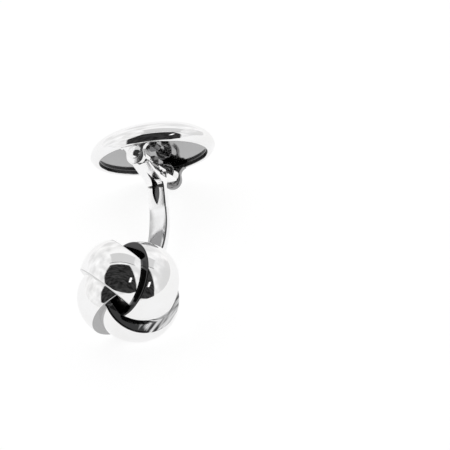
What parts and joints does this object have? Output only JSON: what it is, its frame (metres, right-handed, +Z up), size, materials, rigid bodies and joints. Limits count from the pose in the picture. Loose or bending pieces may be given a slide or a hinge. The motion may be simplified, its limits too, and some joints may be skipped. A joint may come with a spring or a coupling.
{
  "type": "knot cufflink",
  "caption": "Knot cufflink of interlocked domed rings on a bent post, with an oval domed back plate that swivels on a pin.",
  "frame": {"origin": "middle of the footprint on the floor, with the cufflink lying at rest on two rings of the knot and the far lug", "axes": "+Y runs from the knot to the back plate, +Z is up"},
  "size_m": [0.0152, 0.034, 0.0127],
  "materials": {
    "polished_silver": "mirror polished silver",
    "plain_silver": "satin silver"
  },
  "bodies": {
    "knot_and_post": {"knot_ring_1": "polished_silver", "knot_ring_2": "polished_silver", "knot_ring_3": "polished_silver", "knot_ring_4": "polished_silver", "knot_core": "plain_silver", "post_collar": "polished_silver", "post": "polished_silver", "leaf_spring": "plain_silver"},
    "back_plate": {"hinge_pin": "plain_silver", "near_pin_head": "polished_silver", "far_pin_head": "polished_silver", "cam_knuckle": "plain_silver", "near_lug": "polished_silver", "far_lug": "polished_silver", "plate_base": "polished_silver", "plate_dome": "polished_silver"}
  },
  "joints": [
    {"name": "plate_swivel", "type": "hinge", "parent": "knot_and_post", "child": "back_plate", "pos_m": [0.00025, 0.01121, 0.00584], "axis": [0.2381, 0.5323, -0.8124], "range_deg": [-84, 84]}
  ]
}
